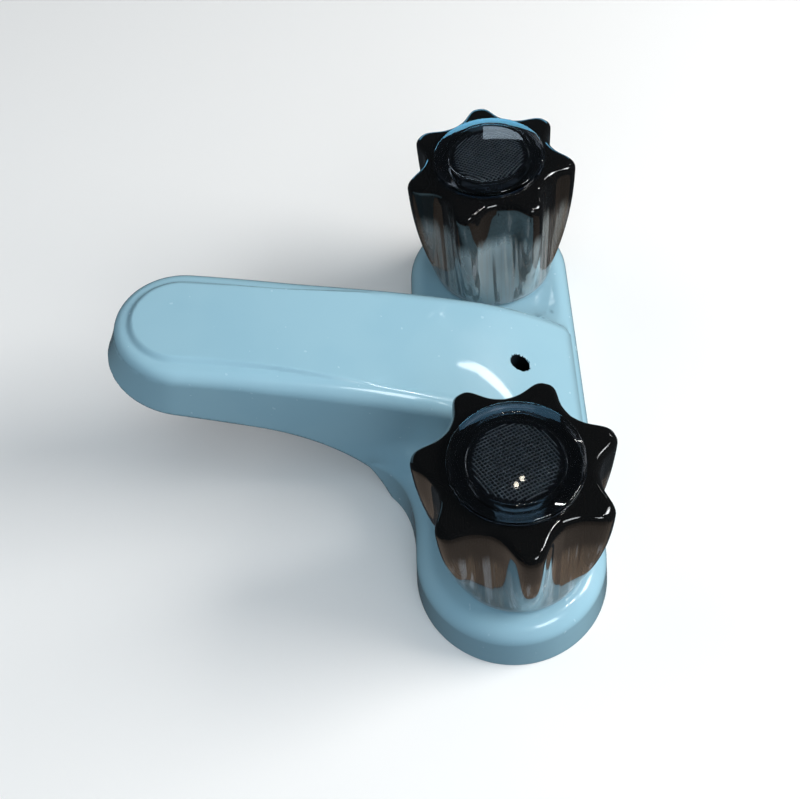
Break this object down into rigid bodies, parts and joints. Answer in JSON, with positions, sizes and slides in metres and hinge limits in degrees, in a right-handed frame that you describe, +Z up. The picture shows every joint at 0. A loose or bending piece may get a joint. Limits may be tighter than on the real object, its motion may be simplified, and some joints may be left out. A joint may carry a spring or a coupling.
{
  "type": "bathroom sink faucet",
  "caption": "Centerset sink faucet: pale blue moulded shell with a rising spout, lobed smoke acrylic handles that make quarter turns, shanks under the deck and a lift rod hole.",
  "frame": {"origin": "on the sink deck plane under the base, midway between the two handle axes", "axes": "+X from the hot handle to the cold handle, spout towards -Y, +Z up out of the deck"},
  "size_m": [0.1546, 0.1338, 0.1142],
  "materials": {
    "shell_plastic": "glossy",
    "smoke_acrylic": "polished",
    "clear_acrylic": "polished",
    "knurled_foil": "knurled",
    "cast_brass": "cast",
    "turned_brass": "turned",
    "copper_tube": "drawn",
    "chrome_plate": "polished",
    "steel": "satin",
    "black_rubber": "matte",
    "gasket_rubber": "matte",
    "white_plastic": "satin"
  },
  "bodies": {
    "faucet_body": {"body_shell": "shell_plastic", "underside_cover": "shell_plastic", "cover_screws": "steel", "base_gasket": "gasket_rubber", "hot_end_body": "cast_brass", "cold_end_body": "cast_brass", "hot_crossover_tube": "copper_tube", "cold_crossover_tube": "copper_tube", "mixing_tee": "cast_brass", "spout_tube": "copper_tube", "outlet_elbow": "cast_brass", "aerator_housing": "chrome_plate", "aerator_washer": "black_rubber", "aerator_screen": "steel", "hot_seat_spring": "steel", "cold_seat_spring": "steel", "hot_seat": "black_rubber", "cold_seat": "black_rubber", "hot_cartridge_sleeve": "white_plastic", "cold_cartridge_sleeve": "white_plastic", "hot_bonnet_nut": "chrome_plate", "cold_bonnet_nut": "chrome_plate", "hot_mounting_washer": "white_plastic", "cold_mounting_washer": "white_plastic", "hot_mounting_nut": "white_plastic", "cold_mounting_nut": "white_plastic"},
    "hot_valve": {"hot_stem": "turned_brass", "hot_stem_seal": "black_rubber", "hot_spline_insert": "white_plastic", "hot_handle": "smoke_acrylic", "hot_handle_screw": "steel", "hot_knurled_disc": "knurled_foil", "hot_index_cap": "clear_acrylic"},
    "cold_valve": {"cold_stem": "turned_brass", "cold_stem_seal": "black_rubber", "cold_spline_insert": "white_plastic", "cold_handle": "smoke_acrylic", "cold_handle_screw": "steel", "cold_knurled_disc": "knurled_foil", "cold_index_cap": "clear_acrylic"}
  },
  "joints": [
    {"name": "hot_handle_turn", "type": "hinge", "parent": "faucet_body", "child": "hot_valve", "pos_m": [-0.0508, 0, 0.0165], "axis": [0, 0, 1], "range_deg": [0, 90]},
    {"name": "cold_handle_turn", "type": "hinge", "parent": "faucet_body", "child": "cold_valve", "pos_m": [0.0508, 0, 0.0165], "axis": [0, 0, -1], "range_deg": [0, 90]}
  ]
}
